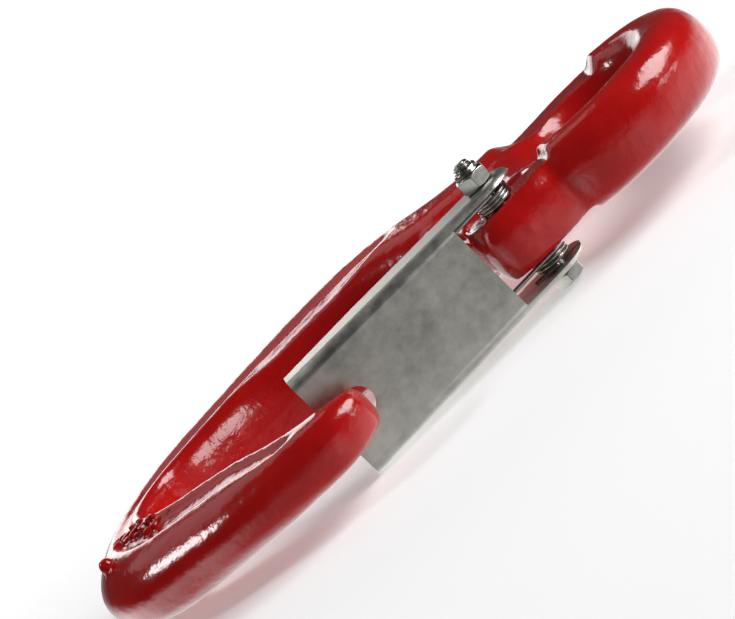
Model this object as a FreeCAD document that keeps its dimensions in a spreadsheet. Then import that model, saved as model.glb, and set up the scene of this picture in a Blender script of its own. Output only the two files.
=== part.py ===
import FreeCAD, Part
import os, math
from FreeCAD import Vector, Rotation, Placement

# Forged eye sling hook with a sprung sheet-steel latch.
# Frame: origin at the centre of the eye, +Z up along the load line, +X towards the hook's
# tip, Y through the thickness of the forging (nut on the -Y side, bolt head on the +Y side).

os.makedirs("parts", exist_ok=True)
doc = FreeCAD.newDocument("eye_hook")

# ---------------------------------------------------------------- driving dimensions (mm)
sheet = doc.addObject("Spreadsheet::Sheet", "dims")
DIMS = [
    ("eye_bore_rad", 17.4, "land inside the eye"),
    ("eye_ring_rad", 26.1, "centreline of the eye ring"),
    ("eye_sec_rad", 8.91, "eye ring section, radial half"),
    ("eye_sec_half", 10.6, "eye ring section, half thickness along Y"),
    ("arm_flat_half", 7.2, "half thickness of the flattened spine-side arm"),
    ("arm_flat_top", 9.0, "upper end of the flattened arm"),
    ("arm_flat_low", 23.0, "lower end of the flattened arm, below the eye centre"),
    ("neck_half", 8.1, "half thickness of the neck at the latch pivot"),
    ("pivot_x", 25.0, "latch pivot"),
    ("pivot_drop", 32.4, "latch pivot below the eye centre"),
    ("boss_rad", 8.8, "neck boss round the pivot"),
    ("spot_rad", 16.6, "spot face round the pivot"),
    ("neck_hole_rad", 2.5, "pivot hole through the neck, close on the bolt"),
    ("bowl_drop", 134.0, "bowl centre below the eye centre"),
    ("bowl_rad", 21.5, "bowl bearing radius"),
    ("bowl_depth", 24.0, "section depth at the bowl"),
    ("latch_tilt", 7.0, "latch lean from the load line, degrees"),
    ("latch_top_wide", 29.4, "outer width over the ears"),
    ("latch_end_wide", 31.8, "outer width at the free end"),
    ("latch_sheet", 2.0, "sheet thickness"),
    ("latch_web_off", 8.2, "web outer face in front of the pivot"),
    ("latch_web_top", 12.8, "web top edge below the pivot"),
    ("latch_len", 66.8, "free end below the pivot"),
    ("latch_back", 7.6, "flange back edge behind the pivot"),
    ("ear_rad", 8.0, "ear rounding"),
    ("ear_hole_rad", 2.57, "bolt hole in the ears"),
    ("fold_rad", 3.0, "outer bend radius"),
    ("win_half", 4.4, "half width of the tip window"),
    ("win_top", 54.0, "top of the tip window below the pivot"),
    ("win_low", 62.4, "bottom of the tip window below the pivot"),
    ("bolt_rad", 2.5, "M5 shank"),
    ("hex_across", 8.0, "across flats of head and nut"),
    ("seat_gap", 0.15, "running gap between an ear and the head or nut"),
    ("head_high", 3.2, "bolt head height"),
    ("nut_high", 4.2, "hexagon part of the lock nut"),
    ("collar_high", 1.6, "crimped collar of the lock nut"),
    ("collar_rad", 3.45, "crimped collar radius"),
    ("bolt_proud", 1.4, "thread standing proud of the nut"),
    ("wire_rad", 0.55, "spring wire radius"),
    ("coil_rad", 4.6, "spring coil mean radius"),
    ("coil_pitch", 1.14, "spring coil pitch"),
    ("coil_turns", 2.75, "turns in each coil pack"),
    ("gauge_rad", 2.4, "gauge boss radius"),
    ("gauge_high", 1.6, "gauge boss height"),
]
for i, (name, val, note) in enumerate(DIMS, start=1):
    sheet.set("A%d" % i, str(val))
    sheet.set("B%d" % i, note)
    sheet.setAlias("A%d" % i, name)
doc.recompute()
D = {name: float(sheet.get(name)) for name, _, _ in DIMS}


def ref(obj, prop, expr):
    obj.setExpression(prop, expr)


def V(x, y, z):
    return Vector(float(x), float(y), float(z))


# ================================================================= hook_body
# Stations of the forging from the tip round the bowl and up the spine: the inner point, the
# outer point, the half width at the inner (bearing) side and at the outer side.
bz, br, bd = -D["bowl_drop"], D["bowl_rad"], D["bowl_depth"]


def bowl(phi, wi, wo):
    a = math.radians(phi)
    c, s = math.cos(a), math.sin(a)
    return (br * c, bz + br * s, (br + bd) * c, bz + (br + bd) * s, wi, wo)


STATIONS = [
    (42.3, -86.2, 44.0, -85.9, 1.8, 1.8),
    (40.6, -87.4, 46.7, -86.2, 4.8, 4.9),
    (39.85, -89.5, 50.0, -88.0, 6.0, 6.3),
    (41.2, -93.2, 53.0, -92.2, 7.0, 6.9),
    (41.9, -98.6, 55.2, -98.6, 8.0, 7.2),
    (38.0, -107.0, 54.9, -109.5, 9.2, 7.4),
    (32.6, -116.5, 52.9, -121.5, 10.4, 7.5),
    (26.6, -126.0, 49.6, -134.0, 11.2, 7.6),
    bowl(-16, 11.3, 7.6),
    bowl(-40, 11.1, 7.8),
    bowl(-65, 11.1, 8.0),
    bowl(-90, 11.4, 8.3),
    bowl(-115, 12.1, 9.0),
    bowl(-140, 12.9, 10.5),
    bowl(-165, 13.5, 11.8),
    (-22.0, -128.0, -46.2, -124.5, 14.0, 12.8),
    (-21.9, -114.0, -46.0, -110.5, 14.6, 13.7),
    (-20.6, -99.0, -44.6, -95.5, 15.3, 14.6),
    (-17.6, -84.5, -42.0, -79.5, 15.9, 15.3),
    (-12.5, -71.5, -38.0, -64.0, 15.8, 15.3),
    (-6.0, -60.0, -33.6, -50.0, 14.4, 14.1),
    (-1.5, -47.5, -30.6, -38.0, 13.0, 12.9),
    (-3.0, -35.0, -30.0, -25.5, 12.4, 12.2),
    (-9.5, -23.5, -32.0, -13.5, 12.0, 11.4),
    (-17.0, -13.0, -34.6, -4.5, 10.6, 9.6),
]


def section(st, n=20):
    # closed wire: rounded trapezoid, wide on the bearing side, standing across the path
    xi, zi, xo, zo, wi, wo = st
    cx, cz = (xi + xo) / 2, (zi + zo) / 2
    ux, uz = (xo - xi) / 2, (zo - zi) / 2
    pts = []
    for k in range(n):
        t = 2 * math.pi * k / n
        c, s = math.cos(t), math.sin(t)
        e = 0.78
        a = math.copysign(abs(c) ** e, c)
        b = math.copysign(abs(s) ** e, s)
        w = wi + (wo - wi) * (a + 1) / 2
        pts.append(V(cx + ux * a, w * b, cz + uz * a))
    bs = Part.BSplineCurve()
    bs.interpolate(Points=pts, PeriodicFlag=True, Parameters=[k / n for k in range(n + 1)])
    return Part.Wire([bs.toShape()])


loft = Part.makeLoft([section(s) for s in STATIONS], True, False)

# eye ring: ellipse turned about the Y axis
ell = Part.Ellipse(V(D["eye_ring_rad"], 0, 0), D["eye_sec_half"], D["eye_sec_rad"])
ell_edge = Part.Edge(ell)
ell_edge.rotate(V(D["eye_ring_rad"], 0, 0), V(0, 0, 1), 90)
ring = Part.Face(Part.Wire([ell_edge])).revolve(V(0, 0, 0), V(0, 1, 0), 360)
ring.rotate(V(0, 0, 0), V(0, 1, 0), -90)

# neck plate that carries the pivot boss, from the ring down to the spine
px, pz = D["pivot_x"], -D["pivot_drop"]
nh = D["neck_half"]


def prism(pts, half, fil):
    w = Part.makePolygon([V(x, -half, z) for x, z in pts] + [V(pts[0][0], -half, pts[0][1])])
    s = Part.Face(w).extrude(V(0, 2 * half, 0))
    return s


def spline_prism(pts, half):
    bs = Part.BSplineCurve()
    bs.interpolate([V(x, -half, z) for x, z in pts], PeriodicFlag=True)
    return Part.Face(Part.Wire([bs.toShape()])).extrude(V(0, 2 * half, 0))


b, rc = D["boss_rad"], D["eye_ring_rad"]


def polar(r, deg):
    return (r * math.cos(math.radians(deg)), r * math.sin(math.radians(deg)))


neck_pts = [
    (px + b * math.cos(math.radians(a)), pz + b * math.sin(math.radians(a)))
    for a in (20, -15, -50, -85)
] + [(14.5, -44.0), (5.5, -49.5), (-4.0, -56.0), (-15.0, -52.0), (-22.0, -40.0), (-24.0, -27.0),
     polar(rc, -137), polar(rc, -115), polar(rc, -90), polar(rc, -65), polar(rc, -42),
     (25.5, -13.5), (30.3, -18.0), (32.6, -23.5)]
neck = spline_prism(neck_pts, D["eye_sec_half"])
rims = [e for e in neck.Edges if abs(abs(e.CenterOfMass.y) - D["eye_sec_half"]) < 1e-6]
neck = neck.makeFillet(1.6, rims)

print("pieces", [(round(q.Volume), q.isValid(), q.ShapeType) for q in (loft, ring, neck)])
body = ring.fuse([neck, loft])
# flattened spine-side arm: both faces are cut back over the middle of the arm
ft, fl, fh = D["arm_flat_top"], D["arm_flat_low"], D["arm_flat_half"]
for sgn in (-1, 1):
    slab = Part.makeBox(30, 12, ft + fl, V(-42, fh if sgn > 0 else -fh - 12, -fl))
    edges = [e for e in slab.Edges if abs(e.CenterOfMass.y - sgn * fh) < 1e-6
             and abs(e.Vertexes[0].X - e.Vertexes[-1].X) > 5]
    slab = slab.makeFillet(4.0, edges)
    body = body.cut(slab)
# spot faces round the pivot, room for the ears and the spring packs
for sgn in (-1, 1):
    spot = Part.makeCylinder(D["spot_rad"], 10, V(px, sgn * nh, pz), V(0, sgn, 0))
    rim = [e for e in spot.Edges if abs(e.CenterOfMass.y - sgn * nh) < 1e-6]
    spot = spot.makeFillet(2.0, rim)
    body = body.cut(spot)
# land in the eye and the pivot hole
body = body.cut(Part.makeCylinder(D["eye_bore_rad"], 60, V(0, -30, 0), V(0, 1, 0)))
body = body.cut(Part.makeCylinder(D["neck_hole_rad"], 60, V(px, -30, pz), V(0, 1, 0)))
# gauge boss on the -Y face of the bowl
ga = math.radians(-62)
gx, gz = (br + bd - 7.0) * math.cos(ga), bz + (br + bd - 7.0) * math.sin(ga)
boss = Part.makeCylinder(D["gauge_rad"], 6.0, V(gx, -9.6 - D["gauge_high"], gz), V(0, 1, 0))
body = body.fuse(boss)
body = body.Solids[0]

hook = doc.addObject("Part::Feature", "hook_body")
hook.Label = "hook_body"
hook.Shape = body
print("hook_body", hook.Shape.ShapeType, len(hook.Shape.Solids), hook.Shape.isValid(), round(hook.Shape.Volume))

# ================================================================= latch
# Local frame: pivot axis at the origin, local X out through the web, local Z up to the ears.
t, wt, we = D["latch_sheet"], D["latch_top_wide"] / 2, D["latch_end_wide"] / 2
off, ln, top, back, er = D["latch_web_off"], D["latch_len"], D["latch_web_top"], D["latch_back"], D["ear_rad"]


def side_face(front, zlow, y):
    # side outline of a flange with its ear: back edge, free end, front edge, round ear
    arc = Part.Arc(V(front if front < er else er, y, 0), V(0, y, er), V(-er, y, 0)).toShape()
    pts = [V(-er, y, 0), V(-back, y, -16.0), V(-1.2, y, zlow), V(front, y, zlow), V(front, y, -2.0),
           V(front if front < er else er, y, 0)]
    edges = [Part.LineSegment(pts[i], pts[i + 1]).toShape() for i in range(5)
             if (pts[i + 1] - pts[i]).Length > 1e-6]
    return Part.Face(Part.Wire(edges + [arc]))


zt = er + 4


def half_at(z, inset):
    return wt + (we - wt) * (-z) / ln - inset


def front_prism(inset, zlow, zhigh):
    p = [V(-30, -half_at(zlow, inset), zlow), V(-30, half_at(zlow, inset), zlow),
         V(-30, half_at(zhigh, inset), zhigh), V(-30, -half_at(zhigh, inset), zhigh)]
    return Part.Face(Part.makePolygon(p + [p[0]])).extrude(V(60, 0, 0))


outer = side_face(off, -ln, -30).extrude(V(0, 60, 0)).common(front_prism(0, -ln, zt))
folds = []
for e in outer.Edges:
    a, c = e.Vertexes[0].Point, e.Vertexes[-1].Point
    if abs(a.x - off) < 1e-4 and abs(c.x - off) < 1e-4 and abs(a.z - c.z) > 20:
        folds.append(e)
outer = outer.makeFillet(D["fold_rad"], folds)
void = Part.makeBox(60, 60, ln + zt + 20, V(-60 + off - t, -30, -ln - 10)).common(front_prism(t, -ln - 5, zt + 5))
vf = []
for e in void.Edges:
    a, c = e.Vertexes[0].Point, e.Vertexes[-1].Point
    if abs(a.x - (off - t)) < 1e-4 and abs(c.x - (off - t)) < 1e-4 and abs(a.z - c.z) > 20:
        vf.append(e)
void = void.makeFillet(D["fold_rad"] - t, vf)
channel = outer.cut(void)
# the web stops below the ears
hw = half_at(-top, t)
gap = Part.makeBox(30, 2 * hw, top + zt + 5, V(off - t - 6, -hw, -top))
channel = channel.cut(gap)
# window that the hook's tip stands in
wh, w1, w2 = D["win_half"], -D["win_top"], -D["win_low"]
win = Part.makeBox(12, 2 * wh, (w1 - w2), V(off - 6, -wh, w2))
win_e = [e for e in win.Edges if abs(e.Vertexes[0].X - e.Vertexes[-1].X) > 5]
win = win.makeFillet(min(wh, (w1 - w2) / 2) - 0.15, win_e)
channel = channel.cut(win)
channel = channel.cut(Part.makeCylinder(D["ear_hole_rad"], 60, V(0, -30, 0), V(0, 1, 0)))

latch = doc.addObject("Part::Feature", "latch")
latch.Label = "latch"
latch.Shape = channel
latch.Placement = Placement(V(px, 0, pz), Rotation(V(0, 1, 0), -D["latch_tilt"]))
print("latch", len(latch.Shape.Solids), latch.Shape.isValid(), round(latch.Shape.Volume))

# ================================================================= pivot_bolt (PartDesign)
bolt = doc.addObject("PartDesign::Body", "pivot_bolt")
bolt.Label = "pivot_bolt"


def plane(bodyobj, role):
    return [f for f in bodyobj.Origin.OriginFeatures if f.Role == role][0]


def circle_sketch(bodyobj, name, alias, offset_expr):
    sk = bodyobj.newObject("Sketcher::SketchObject", name)
    sk.AttachmentSupport = (plane(bodyobj, "XZ_Plane"), [""])
    sk.MapMode = "FlatFace"
    sk.setExpression(".AttachmentOffset.Base.z", offset_expr)
    import Sketcher
    sk.addGeometry(Part.Circle(V(0, 0, 0), V(0, 0, 1), 1.0), False)
    sk.addConstraint(Sketcher.Constraint("Coincident", 0, 3, -1, 1))
    c = sk.addConstraint(Sketcher.Constraint("Radius", 0, D[alias]))
    sk.setExpression("Constraints[%d]" % c, "dims." + alias)
    return sk


def hex_sketch(bodyobj, name, offset_expr, turn):
    import Sketcher
    sk = bodyobj.newObject("Sketcher::SketchObject", name)
    sk.AttachmentSupport = (plane(bodyobj, "XZ_Plane"), [""])
    sk.MapMode = "FlatFace"
    sk.setExpression(".AttachmentOffset.Base.z", offset_expr)
    r = D["hex_across"] / math.sqrt(3)
    P = [V(r * math.cos(math.radians(60 * k + turn)), r * math.sin(math.radians(60 * k + turn)), 0) for k in range(6)]
    for k in range(6):
        sk.addGeometry(Part.LineSegment(P[k], P[(k + 1) % 6]), False)
    for k in range(6):
        sk.addConstraint(Sketcher.Constraint("Coincident", k, 2, (k + 1) % 6, 1))
    sk.addGeometry(Part.Circle(V(0, 0, 0), V(0, 0, 1), r), True)
    sk.addConstraint(Sketcher.Constraint("Coincident", 6, 3, -1, 1))
    for k in range(6):
        sk.addConstraint(Sketcher.Constraint("PointOnObject", k, 1, 6))
    for k in range(5):
        sk.addConstraint(Sketcher.Constraint("Equal", k, k + 1))
    c = sk.addConstraint(Sketcher.Constraint("Radius", 6, r))
    sk.setExpression("Constraints[%d]" % c, "dims.hex_across / sqrt(3)")
    return sk


# XZ_Plane looks along -Y: local z of the sketch is the -Y direction of the body
half_top = D["latch_top_wide"] / 2
sk1 = circle_sketch(bolt, "shank_sketch", "bolt_rad", "-dims.latch_top_wide / 2 - dims.seat_gap")
pad1 = bolt.newObject("PartDesign::Pad", "shank")
pad1.Profile = sk1
ref(pad1, "Length", "dims.latch_top_wide + 2 * dims.seat_gap + dims.nut_high + dims.collar_high + dims.bolt_proud")
sk2 = hex_sketch(bolt, "head_sketch", "-dims.latch_top_wide / 2 - dims.seat_gap - dims.head_high", 0)
pad2 = bolt.newObject("PartDesign::Pad", "head")
pad2.Profile = sk2
ref(pad2, "Length", "dims.head_high")
doc.recompute()
bolt.Placement = Placement(V(px, 0, pz), Rotation())
doc.recompute()
print("bolt box", bolt.Shape.BoundBox, "states", pad1.State, pad2.State)

# ================================================================= lock_nut (PartDesign)
nut = doc.addObject("PartDesign::Body", "lock_nut")
nut.Label = "lock_nut"
sk3 = hex_sketch(nut, "hex_sketch", "dims.latch_top_wide / 2 + dims.seat_gap", 0)
pad3 = nut.newObject("PartDesign::Pad", "hexagon")
pad3.Profile = sk3
ref(pad3, "Length", "dims.nut_high")
sk4 = circle_sketch(nut, "collar_sketch", "collar_rad", "dims.latch_top_wide / 2 + dims.seat_gap + dims.nut_high")
pad4 = nut.newObject("PartDesign::Pad", "collar")
pad4.Profile = sk4
ref(pad4, "Length", "dims.collar_high")
sk5 = circle_sketch(nut, "bore_sketch", "bolt_rad", "dims.latch_top_wide / 2 + dims.seat_gap + dims.nut_high + dims.collar_high")
poc = nut.newObject("PartDesign::Pocket", "bore")
poc.Profile = sk5
poc.Type = 1
doc.recompute()
nut.Placement = Placement(V(px, 0, pz), Rotation())
doc.recompute()
print("nut box", nut.Shape.BoundBox, nut.Shape.Volume)

# ================================================================= latch_spring
# Double torsion spring: a coil pack each side of the neck on the bolt, a leg from each pack
# running down behind the web, and a cross bar joining the two legs against the web.
wr, cr, cp, ct = D["wire_rad"], D["coil_rad"], D["coil_pitch"], D["coil_turns"]
inner_gap = D["neck_half"] + 0.12          # packs stand just clear of the neck
pack = cp * ct


def coil(sgn):
    hel = Part.makeHelix(cp, pack, cr)
    e = hel.Edges[0] if len(hel.Edges) else hel
    w = Part.Wire(hel.Edges)
    prof = Part.Wire([Part.makeCircle(wr, V(cr, 0, 0), V(0, 1, 0))])
    s = w.makePipeShell([prof], True, True)
    # helix stands along Z from z=0; lay it along Y
    s.rotate(V(0, 0, 0), V(1, 0, 0), -90)
    s.translate(V(0, inner_gap + wr, 0))
    if sgn < 0:
        s = s.mirror(V(0, 0, 0), V(0, 1, 0))
    return s


def rod(p, q, r=wr):
    d = q - p
    return Part.makeCylinder(r, d.Length, p, d)


spring_bits = []
# contact line of the bar: behind the web, 5.5 mm below its top edge, touching the inner face
leg_x = off - t - wr - 0.12
bar_z = -(top + 9.0)
for sgn in (-1, 1):
    spring_bits.append(coil(sgn))
print("coil", spring_bits[0].isValid(), round(spring_bits[0].Volume, 1), spring_bits[0].BoundBox)
y_in, y_out = inner_gap + wr, inner_gap + wr + pack
# one leg leaves the outer turn of the -Y pack, the other the inner turn of the +Y pack
legs = (-y_out, y_in)
for yy in legs:
    a0 = V(cr, yy, 0.3)
    a1 = V(leg_x, yy, bar_z)
    spring_bits.append(rod(a0, a1))
    spring_bits.append(Part.makeSphere(wr, a1))
spring_bits.append(rod(V(leg_x, legs[0], bar_z), V(leg_x, legs[1], bar_z)))
# short tails from the other turns, tucked down beside the neck and the ear
for yy in (-y_in, y_out):
    spring_bits.append(rod(V(cr, yy, 0.3), V(cr - 1.6, yy, -7.5)))
sp = spring_bits[0].fuse(spring_bits[1:])
print("spring", sp.ShapeType, len(sp.Solids), sp.isValid(), round(sp.Volume, 1))
spring = doc.addObject("Part::Feature", "latch_spring")
spring.Label = "latch_spring"
spring.Shape = sp
spring.Placement = Placement(V(px, 0, pz), Rotation(V(0, 1, 0), -D["latch_tilt"]))

# ================================================================= checks and export
doc.recompute()
bad = []
for o in doc.Objects:
    if any(s in ("Invalid", "Error") for s in o.State):
        bad.append((o.Name, o.State))
PARTS = [hook, latch, bolt, nut, spring]
for p in PARTS:
    if p.Shape.isNull() or not p.Shape.isValid() or not p.Shape.Solids:
        bad.append((p.Label, "bad shape"))
if bad:
    raise SystemExit("not written: %r" % bad)
for p in PARTS:
    bb = p.Shape.BoundBox
    print("%-14s solids %d volume %.0f box %.1f %.1f %.1f .. %.1f %.1f %.1f" % (
        p.Label, len(p.Shape.Solids), p.Shape.Volume, bb.XMin, bb.YMin, bb.ZMin, bb.XMax, bb.YMax, bb.ZMax))
    p.Shape.exportStep("parts/%s.step" % p.Label)
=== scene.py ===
import bpy, bmesh, math
import numpy as np
from mathutils import Vector, Matrix


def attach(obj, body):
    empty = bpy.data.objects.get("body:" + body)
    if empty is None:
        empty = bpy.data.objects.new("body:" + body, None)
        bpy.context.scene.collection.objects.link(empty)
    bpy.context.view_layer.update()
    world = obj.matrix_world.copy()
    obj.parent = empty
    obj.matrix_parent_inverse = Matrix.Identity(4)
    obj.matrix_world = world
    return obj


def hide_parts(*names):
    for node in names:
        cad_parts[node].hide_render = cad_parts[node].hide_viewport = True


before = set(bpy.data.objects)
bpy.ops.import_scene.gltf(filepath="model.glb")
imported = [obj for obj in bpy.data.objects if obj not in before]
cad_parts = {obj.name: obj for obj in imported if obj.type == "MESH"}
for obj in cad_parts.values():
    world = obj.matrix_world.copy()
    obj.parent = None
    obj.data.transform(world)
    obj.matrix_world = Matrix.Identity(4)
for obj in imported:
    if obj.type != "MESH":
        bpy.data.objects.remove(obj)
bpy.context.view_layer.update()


MM = 0.001
scene = bpy.context.scene
scene.view_settings.view_transform = "Standard"
scene.view_settings.look = "None"


# ============================================================ small helpers
def make_object(name, verts_mm, faces, smooth=True):
    me = bpy.data.meshes.new(name)
    me.from_pydata([tuple(v) for v in (np.asarray(verts_mm, float) * MM)], [], [tuple(int(i) for i in f) for f in faces])
    me.update()
    ob = bpy.data.objects.new(name, me)
    scene.collection.objects.link(ob)
    if smooth:
        me.polygons.foreach_set("use_smooth", [True] * len(me.polygons))
    return ob


def fix_normals(ob):
    bm = bmesh.new()
    bm.from_mesh(ob.data)
    bmesh.ops.recalc_face_normals(bm, faces=bm.faces)
    bm.to_mesh(ob.data)
    bm.free()
    ob.data.update()


def evaluated_mesh(ob):
    dg = bpy.context.evaluated_depsgraph_get()
    dg.update()
    return bpy.data.meshes.new_from_object(ob.evaluated_get(dg), depsgraph=dg)


def bake_modifiers(ob):
    me = evaluated_mesh(ob)
    ob.modifiers.clear()
    old = ob.data
    ob.data = me
    bpy.data.meshes.remove(old)
    return ob


def smoothstep(a, b, x):
    t = np.clip((x - a) / (b - a), 0.0, 1.0)
    return t * t * (3 - 2 * t)


def grid_faces(n, m, close_m=True, flip=False):
    f = []
    for i in range(n - 1):
        for j in range(m if close_m else m - 1):
            a, b = i * m + j, i * m + (j + 1) % m
            c, d = (i + 1) * m + (j + 1) % m, (i + 1) * m + j
            f.append((a, d, c, b) if flip else (a, b, c, d))
    return f


# ============================================================ forging: path sections
BZ, BR, BD = -134.0, 21.5, 24.0
PX, PZ = 25.0, -32.4


def bowl(phi, wi, wo):
    a = math.radians(phi)
    c, s = math.cos(a), math.sin(a)
    return (BR * c, BZ + BR * s, (BR + BD) * c, BZ + (BR + BD) * s, wi, wo)


STATIONS = np.array([
    (42.3, -86.2, 44.0, -85.9, 1.8, 1.8),
    (40.6, -87.4, 46.7, -86.2, 4.8, 4.9),
    (39.85, -89.5, 50.0, -88.0, 6.0, 6.3),
    (41.2, -93.2, 53.0, -92.2, 7.0, 6.9),
    (41.9, -98.6, 55.2, -98.6, 8.0, 7.2),
    (38.0, -107.0, 54.9, -109.5, 9.2, 7.4),
    (32.6, -116.5, 52.9, -121.5, 10.4, 7.5),
    (26.6, -126.0, 49.6, -134.0, 11.2, 7.6),
    bowl(-16, 12.6, 7.6),
    bowl(-40, 13.4, 7.8),
    bowl(-65, 13.9, 8.0),
    bowl(-90, 14.0, 8.3),
    bowl(-115, 13.9, 9.0),
    bowl(-140, 13.6, 10.5),
    bowl(-165, 13.5, 11.8),
    (-22.0, -128.0, -46.2, -124.5, 14.0, 12.8),
    (-21.9, -114.0, -46.0, -110.5, 14.6, 13.7),
    (-20.6, -99.0, -44.6, -95.5, 15.3, 14.6),
    (-17.6, -84.5, -42.0, -79.5, 15.9, 15.3),
    (-12.5, -71.5, -38.0, -64.0, 15.8, 15.3),
    (-6.0, -60.0, -33.6, -50.0, 14.4, 14.1),
    (-1.5, -47.5, -30.6, -38.0, 13.0, 12.9),
    (-3.0, -35.0, -30.0, -25.5, 12.4, 12.2),
    (-9.5, -23.5, -32.0, -13.5, 12.0, 11.4),
    (-17.0, -13.0, -34.6, -4.5, 10.6, 9.6),
])


def resample(P, n):
    mid = (P[:, 0:2] + P[:, 2:4]) / 2
    t = np.r_[0, np.cumsum(np.sqrt(np.linalg.norm(np.diff(mid, axis=0), axis=1)))]
    # natural cubic spline through the stations, one column at a time
    k = len(t)
    h = np.diff(t)
    A = np.zeros((k, k))
    A[0, 0] = A[-1, -1] = 1
    for i in range(1, k - 1):
        A[i, i - 1], A[i, i], A[i, i + 1] = h[i - 1], 2 * (h[i - 1] + h[i]), h[i]
    fine = np.linspace(t[0], t[-1], 4000)

    def spline(y, q):
        r = np.zeros(k)
        r[1:-1] = 3 * ((y[2:] - y[1:-1]) / h[1:] - (y[1:-1] - y[:-2]) / h[:-1])
        c = np.linalg.solve(A, r)
        b = (y[1:] - y[:-1]) / h - h * (2 * c[:-1] + c[1:]) / 3
        d = (c[1:] - c[:-1]) / (3 * h)
        i = np.clip(np.searchsorted(t, q) - 1, 0, k - 2)
        u = q - t[i]
        return y[i] + b[i] * u + c[i] * u * u + d[i] * u ** 3

    F = np.stack([spline(P[:, j], fine) for j in range(6)], 1)
    m = (F[:, 0:2] + F[:, 2:4]) / 2
    s = np.r_[0, np.cumsum(np.linalg.norm(np.diff(m, axis=0), axis=1))]
    # closer rings at the rounded tip
    L = s[-1]
    q = np.linspace(0, 1, n)
    target = L * (0.86 * q + 0.14 * q ** 2)
    return np.stack([np.interp(target, s, F[:, j]) for j in range(6)], 1), target


RINGS, AROUND = 420, 120
ST, arc = resample(STATIONS, RINGS)
# positions across the section: out along one side face, back along the other
t_up = np.sin(np.linspace(-1, 1, AROUND // 2 + 1) * np.pi / 2)
across = np.r_[t_up, t_up[-2:0:-1]]
face = np.r_[np.ones(AROUND // 2 + 1), -np.ones(AROUND // 2 - 1)]


def forged_loft():
    V = []
    zc = (ST[:, 1] + ST[:, 3]) / 2
    xc = (ST[:, 0] + ST[:, 2]) / 2
    # distance along the path where the side panel starts (near the tip) and ends (up the spine)
    i0 = int(np.argmin(np.hypot(xc - 47.5, zc + 101.0)))
    i1 = int(np.argmin(np.hypot(xc + 21.5, zc + 57.0)))
    for i, (xi, zi, xo, zo, wi, wo) in enumerate(ST):
        cx, cz = (xi + xo) / 2, (zi + zo) / 2
        ux, uz = (xo - xi) / 2, (zo - zi) / 2
        near = min(max(arc[i] - arc[i0], 0.0), max(arc[i1] - arc[i], 0.0))
        body = smoothstep(2.0, 30.0, near)
        # bearing side broad and boxy, outer side domed; rounder towards the tip
        a = across
        # the bearing side rounds off again up the spine, where the latch swings in
        up = smoothstep(-121.0, -103.0, cz) if cx < 0 else 0.0
        m = np.where(a < 0, 2 / (0.80 - (0.46 - 0.34 * up) * body), 2 / (0.80 + 0.12 * body))
        b = face * (1 - np.abs(a) ** m) ** (1 / m)
        w = wi + (wo - wi) * (a + 1) / 2
        y = w * b
        # side panel between the two rims, with a rounded end
        half = 0.47 * math.sqrt(float(smoothstep(0.0, 16.0, near))) + 1e-4
        mid = -0.40 * body
        dip = 1 - smoothstep(0.25, 1.0, np.abs(a - mid) / half)
        deep = 1.9 * smoothstep(0.0, 9.0, near)
        y = y - np.sign(b) * deep * dip * smoothstep(0.25, 0.8, np.abs(b))
        V.append(np.stack([cx + ux * a, y, cz + uz * a], 1))
    V = np.concatenate(V)
    F = grid_faces(RINGS, AROUND)
    c0, c1 = len(V), len(V) + 1
    V = np.r_[V, [V[:AROUND].mean(0)], [V[(RINGS - 1) * AROUND:RINGS * AROUND].mean(0)]]
    last = (RINGS - 1) * AROUND
    F += [(c0, (j + 1) % AROUND, j) for j in range(AROUND)]
    F += [(c1, last + j, last + (j + 1) % AROUND) for j in range(AROUND)]
    return V, F


def eye_ring():
    n, m = 240, 96
    R, ar, ay = 26.1, 8.85, 10.6
    t = 2 * np.pi * np.arange(n) / n
    p = 2 * np.pi * np.arange(m) / m
    e = 0.86
    cr = np.sign(np.cos(p)) * np.abs(np.cos(p)) ** e * ar
    cy = np.sign(np.sin(p)) * np.abs(np.sin(p)) ** e * ay
    V = np.zeros((n, m, 3))
    V[:, :, 0] = np.cos(t)[:, None] * (R + cr)[None]
    V[:, :, 1] = cy[None]
    V[:, :, 2] = np.sin(t)[:, None] * (R + cr)[None]
    F = []
    for i in range(n):
        for j in range(m):
            a, b = i * m + j, i * m + (j + 1) % m
            c, d = ((i + 1) % n) * m + (j + 1) % m, ((i + 1) % n) * m + j
            F.append((a, b, c, d))
    return V.reshape(-1, 3), F


def closed_spline(pts, n):
    # periodic Catmull-Rom (centripetal) through the outline points
    P = np.array(pts, float)
    k = len(P)
    out = []
    per = max(4, n // k)
    for i in range(k):
        p0, p1, p2, p3 = P[(i - 1) % k], P[i], P[(i + 1) % k], P[(i + 2) % k]
        t0 = 0.0
        t1 = t0 + max(np.linalg.norm(p1 - p0), 1e-6) ** 0.5
        t2 = t1 + max(np.linalg.norm(p2 - p1), 1e-6) ** 0.5
        t3 = t2 + max(np.linalg.norm(p3 - p2), 1e-6) ** 0.5
        for t in np.linspace(t1, t2, per, endpoint=False):
            A1 = (t1 - t) / (t1 - t0) * p0 + (t - t0) / (t1 - t0) * p1
            A2 = (t2 - t) / (t2 - t1) * p1 + (t - t1) / (t2 - t1) * p2
            A3 = (t3 - t) / (t3 - t2) * p2 + (t - t2) / (t3 - t2) * p3
            B1 = (t2 - t) / (t2 - t0) * A1 + (t - t0) / (t2 - t0) * A2
            B2 = (t3 - t) / (t3 - t1) * A2 + (t - t1) / (t3 - t1) * A3
            out.append((t2 - t) / (t2 - t1) * B1 + (t - t1) / (t2 - t1) * B2)
    return np.array(out)


def polar(r, deg):
    return (r * math.cos(math.radians(deg)), r * math.sin(math.radians(deg)))


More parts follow.
